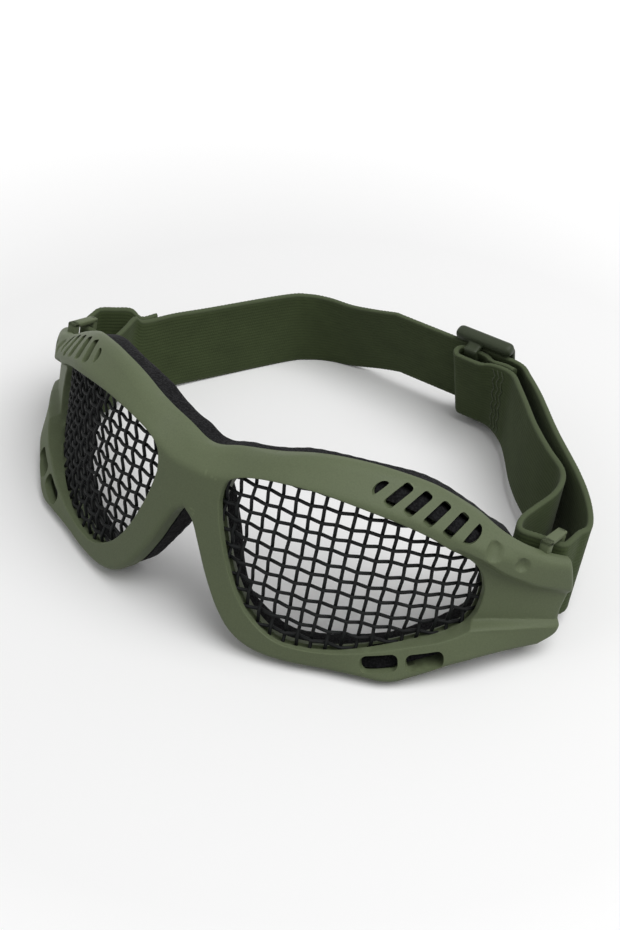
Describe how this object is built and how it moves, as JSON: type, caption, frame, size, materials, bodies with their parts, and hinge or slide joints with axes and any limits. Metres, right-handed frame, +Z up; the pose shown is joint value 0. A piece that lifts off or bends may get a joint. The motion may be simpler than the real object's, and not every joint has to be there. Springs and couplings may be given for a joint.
{
  "type": "mesh goggles",
  "caption": "Wire mesh protective goggles with a moulded wrap face frame, vented brow and cheeks, woven mesh lenses, a foam face seal and an elastic head strap with a slider.",
  "frame": {"origin": "middle of the bounding box at the level the goggles stand on", "axes": "+Z up, +Y from the lenses towards the back of the head, +X towards the wearer's left"},
  "size_m": [0.1764, 0.1242, 0.0533],
  "materials": {
    "frame_plastic": "moulded olive with a fine grain",
    "lens_mesh": "black coated woven wire",
    "foam": "open-cell foam",
    "webbing": "woven elastic webbing",
    "slider_plastic": "moulded olive, satin",
    "thread": "sewing thread"
  },
  "bodies": {
    "face": {"frame": "frame_plastic", "mesh_lens_left": "lens_mesh", "mesh_lens_right": "lens_mesh", "face_foam": "foam", "brow_vent_foam_left": "foam", "brow_vent_foam_right": "foam", "cheek_vent_foam_left": "foam", "cheek_vent_foam_right": "foam"},
    "strap": {"strap_band": "webbing", "strap_sewn_loop": "webbing", "strap_free_loop": "webbing", "strap_return": "webbing", "loop_stitching": "thread"},
    "slider": {"slider": "slider_plastic", "slider_fold": "webbing", "fold_stitching": "thread"}
  },
  "joints": [
    {"name": "strap_swing", "type": "hinge", "parent": "face", "child": "strap", "pos_m": [0, -0.0065, 0.0154], "axis": [1, 0, 0], "range_deg": [-15, 30], "deforming": ["strap_sewn_loop", "strap_free_loop"]},
    {"name": "slider_slide", "type": "slide", "parent": "strap", "child": "slider", "axis": [1, 0, 0], "range_m": [-0.02, 0], "deforming": ["strap_return"]}
  ]
}
